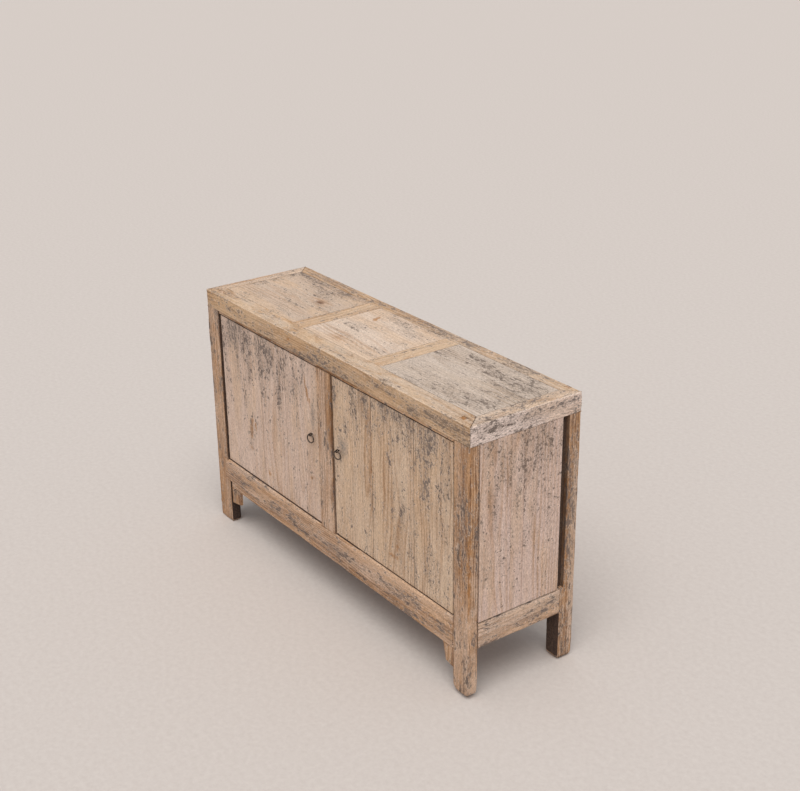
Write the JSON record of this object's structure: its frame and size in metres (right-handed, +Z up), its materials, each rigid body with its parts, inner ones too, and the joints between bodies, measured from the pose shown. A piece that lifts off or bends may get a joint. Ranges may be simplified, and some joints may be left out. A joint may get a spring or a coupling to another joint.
{
  "type": "kang cabinet",
  "caption": "Long low kang cabinet in worn limewashed elm with a mitred top frame, floating panels, doors on wooden pivots with iron ring pulls, and a shelf inside.",
  "frame": {"origin": "on the floor, under the middle of the box that holds the cabinet and its ring pulls", "axes": "+X along the front to the right as seen by someone facing the doors, +Y from the front to the back, +Z up"},
  "size_m": [1.4, 0.4004, 0.845],
  "materials": {
    "frame_elm": "worn, limewashed and waxed, warm arrises",
    "door_elm": "worn limewash with dark remnants of old paint",
    "side_elm": "worn pale limewash",
    "top_elm": "pale limewash, worn flush",
    "inner_elm": "bare old elm",
    "pull_iron": "dark forged iron, lightly rusted"
  },
  "bodies": {
    "carcass": {"apron_strip": "frame_elm", "back_boards_left": "inner_elm", "back_boards_right": "inner_elm", "centre_post": "frame_elm", "door_head_strip": "frame_elm", "door_stop": "inner_elm", "floor_bearer_left": "inner_elm", "floor_bearer_right": "inner_elm", "floor_board_front": "inner_elm", "floor_board_middle": "inner_elm", "floor_board_rear": "inner_elm", "front_leg_left": "frame_elm", "front_leg_right": "frame_elm", "front_lower_rail": "frame_elm", "rear_leg_left": "frame_elm", "rear_leg_right": "frame_elm", "rear_lower_rail": "frame_elm", "rear_stile": "inner_elm", "shelf_bearer": "inner_elm", "shelf_board_front": "inner_elm", "shelf_board_rear": "inner_elm", "shelf_cleat_left": "inner_elm", "shelf_cleat_right": "inner_elm", "side_board_front_left": "side_elm", "side_board_front_right": "side_elm", "side_board_middle_left": "side_elm", "side_board_middle_right": "side_elm", "side_board_rear_left": "side_elm", "side_board_rear_right": "side_elm", "side_lower_rail_left": "frame_elm", "side_lower_rail_right": "frame_elm", "spandrel_left": "frame_elm", "spandrel_right": "frame_elm", "top_cross_rail_left": "top_elm", "top_cross_rail_right": "top_elm", "top_end_member_left": "top_elm", "top_end_member_right": "top_elm", "top_front_member": "top_elm", "top_panel_left": "top_elm", "top_panel_middle": "top_elm", "top_panel_right": "top_elm", "top_rear_member": "top_elm"},
    "left_door": {"left_door_closing_board": "door_elm", "left_door_lower_batten": "inner_elm", "left_door_middle_board": "door_elm", "left_door_pivot_board": "door_elm", "left_door_pull_pin": "pull_iron", "left_door_pull_washer": "pull_iron", "left_door_upper_batten": "inner_elm"},
    "right_door": {"right_door_closing_board": "door_elm", "right_door_lower_batten": "inner_elm", "right_door_middle_board": "door_elm", "right_door_pivot_board": "door_elm", "right_door_pull_pin": "pull_iron", "right_door_pull_washer": "pull_iron", "right_door_upper_batten": "inner_elm"},
    "left_ring": {"left_door_pull_ring": "pull_iron"},
    "right_ring": {"right_door_pull_ring": "pull_iron"}
  },
  "joints": [
    {"name": "left_door_hinge", "type": "hinge", "parent": "carcass", "child": "left_door", "pos_m": [-0.607, -0.1743, 0.246], "axis": [0, 0, -1], "range_deg": [0, 110]},
    {"name": "right_door_hinge", "type": "hinge", "parent": "carcass", "child": "right_door", "pos_m": [0.607, -0.1743, 0.246], "axis": [0, 0, 1], "range_deg": [0, 110]},
    {"name": "left_ring_swing", "type": "hinge", "parent": "left_door", "child": "left_ring", "pos_m": [-0.074, -0.1943, 0.542], "axis": [-1, 0, 0], "range_deg": [-12, 150]},
    {"name": "right_ring_swing", "type": "hinge", "parent": "right_door", "child": "right_ring", "pos_m": [0.074, -0.1943, 0.542], "axis": [-1, 0, 0], "range_deg": [-12, 150]}
  ]
}
